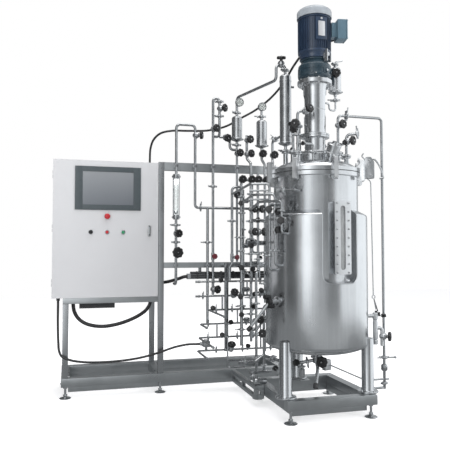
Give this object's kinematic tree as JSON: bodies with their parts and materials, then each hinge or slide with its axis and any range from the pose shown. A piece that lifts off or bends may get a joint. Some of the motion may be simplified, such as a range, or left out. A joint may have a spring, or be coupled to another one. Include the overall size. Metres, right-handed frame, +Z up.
{
  "type": "pilot bioreactor skid",
  "caption": "Stirred stainless fermenter: jacketed vessel with a geared motor on its lid, sterile pipework on a rack, and a control cabinet, on joined base frames.",
  "frame": {"origin": "on the floor under the middle of the bounding box of everything but the cables", "axes": "+X from the control cabinet towards the vessel, +Y to the back, +Z up; the operator stands at -Y"},
  "size_m": [2.2452, 1.575, 2.6131],
  "materials": {
    "frame_steel": "fine brushed stainless tube, welds ground flush",
    "cabinet_paint": "pale grey fine-texture powder coat",
    "switchgear": "zinc plated plate with grey and white device housings",
    "panel_bezel": "moulded slate-grey bezel, fine grain",
    "screen": "grey touch screen behind clear film",
    "red_plastic": "gloss moulded",
    "green_plastic": "gloss moulded",
    "black_plastic": "moulded handwheels and knobs, satin",
    "vessel_steel": "satin polished stainless, circumferential grain",
    "pipe_steel": "bright polished sanitary tube and fittings",
    "shaft_steel": "turned and polished",
    "sight_glass": "thick flat borosilicate",
    "clear_glass": "tapered meter tube",
    "gasket_rubber": "white food-grade sealing ring",
    "gearbox_paint": "teal blue gloss enamel on cast housing",
    "motor_paint": "dark blue gloss enamel on finned casting",
    "cowl_paint": "pressed sheet cowl, blue enamel",
    "valve_body": "investment cast and shot blasted",
    "cable_jacket": "black flexible cable jacket"
  },
  "bodies": {
    "skid": {"rack_base_frame": "frame_steel", "vessel_base_frame": "frame_steel", "link_rails": "frame_steel", "cabinet_stand": "frame_steel", "pipe_rack": "frame_steel", "cable_tray": "frame_steel", "cabinet_shell": "cabinet_paint", "mounting_plate": "switchgear", "vessel_shell": "vessel_steel", "jacket": "vessel_steel", "head_plate": "vessel_steel", "sight_glass_pane": "sight_glass", "sight_glass_frame": "vessel_steel", "head_gasket": "gasket_rubber", "seal_housing": "vessel_steel", "lantern": "vessel_steel", "gearbox": "gearbox_paint", "motor_housing": "motor_paint", "fan_cowl": "cowl_paint", "terminal_box": "motor_paint", "outlet_valve": "valve_body", "sample_valve": "pipe_steel", "air_inlet_line": "pipe_steel", "flow_meter_tube": "clear_glass", "sterile_air_line": "pipe_steel", "exhaust_filter": "pipe_steel", "inlet_air_filter": "pipe_steel", "valve_manifold": "pipe_steel", "utility_rows": "pipe_steel", "drain_lines": "pipe_steel", "exhaust_condenser": "pipe_steel", "seal_pot": "pipe_steel", "drop_line": "pipe_steel", "spray_line": "pipe_steel", "charge_line": "pipe_steel", "inoculum_line": "pipe_steel", "motor_cable": "cable_jacket", "hanging_cable": "cable_jacket", "instrument_cable": "cable_jacket", "tray_cable": "cable_jacket"},
    "door": {"cabinet_door": "cabinet_paint", "panel_housing": "panel_bezel", "panel_screen": "screen"},
    "emergency_stop": {"emergency_stop": "red_plastic"},
    "selector_knob": {"selector_knob": "black_plastic"},
    "stop_button": {"stop_button": "red_plastic"},
    "start_button": {"start_button": "green_plastic"},
    "door_lock": {"door_lock_handle": "black_plastic"},
    "agitator": {"agitator_shaft": "shaft_steel", "impeller_1": "shaft_steel", "impeller_2": "shaft_steel"},
    "rotor": {"motor_rotor": "shaft_steel"},
    "outlet_wheel": {"outlet_valve_wheel": "black_plastic"},
    "sample_handle": {"sample_handle": "black_plastic"},
    "air_wheel_1": {"air_valve_wheel_1": "black_plastic"},
    "air_wheel_2": {"air_valve_wheel_2": "black_plastic"},
    "riser_wheel": {"riser_valve_wheel": "black_plastic"},
    "manifold_knob": {"manifold_wheel": "black_plastic"},
    "meter_float": {"flow_meter_float": "shaft_steel"}
  },
  "joints": [
    {"name": "door_swing", "type": "hinge", "parent": "skid", "child": "door", "pos_m": [-1.12264, 0.30163, 1.179], "axis": [0, 0, -1], "range_deg": [0, 115]},
    {"name": "emergency_press", "type": "slide", "parent": "door", "child": "emergency_stop", "axis": [0, 1, 0], "range_m": [0, 0.006]},
    {"name": "selector_turn", "type": "hinge", "parent": "door", "child": "selector_knob", "pos_m": [-0.86364, 0.28148, 1.1553], "axis": [0, 1, 0], "range_deg": [-45, 45]},
    {"name": "stop_press", "type": "slide", "parent": "door", "child": "stop_button", "axis": [0, 1, 0], "range_m": [0, 0.004], "stiffness_N_per_m": 600, "springref_m": -0.001},
    {"name": "start_press", "type": "slide", "parent": "door", "child": "start_button", "axis": [0, 1, 0], "range_m": [0, 0.004], "stiffness_N_per_m": 600, "springref_m": -0.001},
    {"name": "lock_turn", "type": "hinge", "parent": "door", "child": "door_lock", "pos_m": [-0.45064, 0.28148, 1.1763], "axis": [0, 1, 0], "range_deg": [0, 90]},
    {"name": "agitator_spin", "type": "hinge", "parent": "skid", "child": "agitator", "pos_m": [0.53036, -0.43952, 1.34575], "axis": [0, 0, 1], "continuous": true},
    {"name": "rotor_spin", "type": "hinge", "parent": "skid", "child": "rotor", "pos_m": [0.53036, -0.43952, 2.4], "axis": [0, 0, 1], "continuous": true},
    {"name": "outlet_valve_turn", "type": "hinge", "parent": "skid", "child": "outlet_wheel", "pos_m": [0.56136, -0.49752, 0.3257], "axis": [-0.7507, -0.6606, 0], "range_deg": [0, 720]},
    {"name": "sample_turn", "type": "hinge", "parent": "skid", "child": "sample_handle", "pos_m": [0.9235, -0.49477, 0.6], "axis": [0.9903, -0.1392, 0], "range_deg": [0, 180]},
    {"name": "air_valve_turn_1", "type": "hinge", "parent": "skid", "child": "air_wheel_1", "pos_m": [-0.26064, 0.24148, 1.01], "axis": [0.1203, -0.9927, 0], "range_deg": [0, 720]},
    {"name": "air_valve_turn_2", "type": "hinge", "parent": "skid", "child": "air_wheel_2", "pos_m": [-0.26064, 0.24148, 1.148], "axis": [0.2707, -0.9627, 0], "range_deg": [0, 720]},
    {"name": "riser_valve_turn", "type": "hinge", "parent": "skid", "child": "riser_wheel", "pos_m": [0.06636, 0.24148, 2.088], "axis": [0.7021, -0.7121, 0], "range_deg": [0, 720]},
    {"name": "manifold_valve_turn", "type": "hinge", "parent": "skid", "child": "manifold_knob", "pos_m": [0.39236, 0.15148, 1.545], "axis": [0, -1, 0], "range_deg": [0, 720]},
    {"name": "float_rise", "type": "slide", "parent": "skid", "child": "meter_float", "axis": [0, 0, 1], "range_m": [0, 0.225]}
  ],
  "couplings": [
    {"joint": "rotor_spin", "follows": "agitator_spin", "ratio": 7.1}
  ]
}
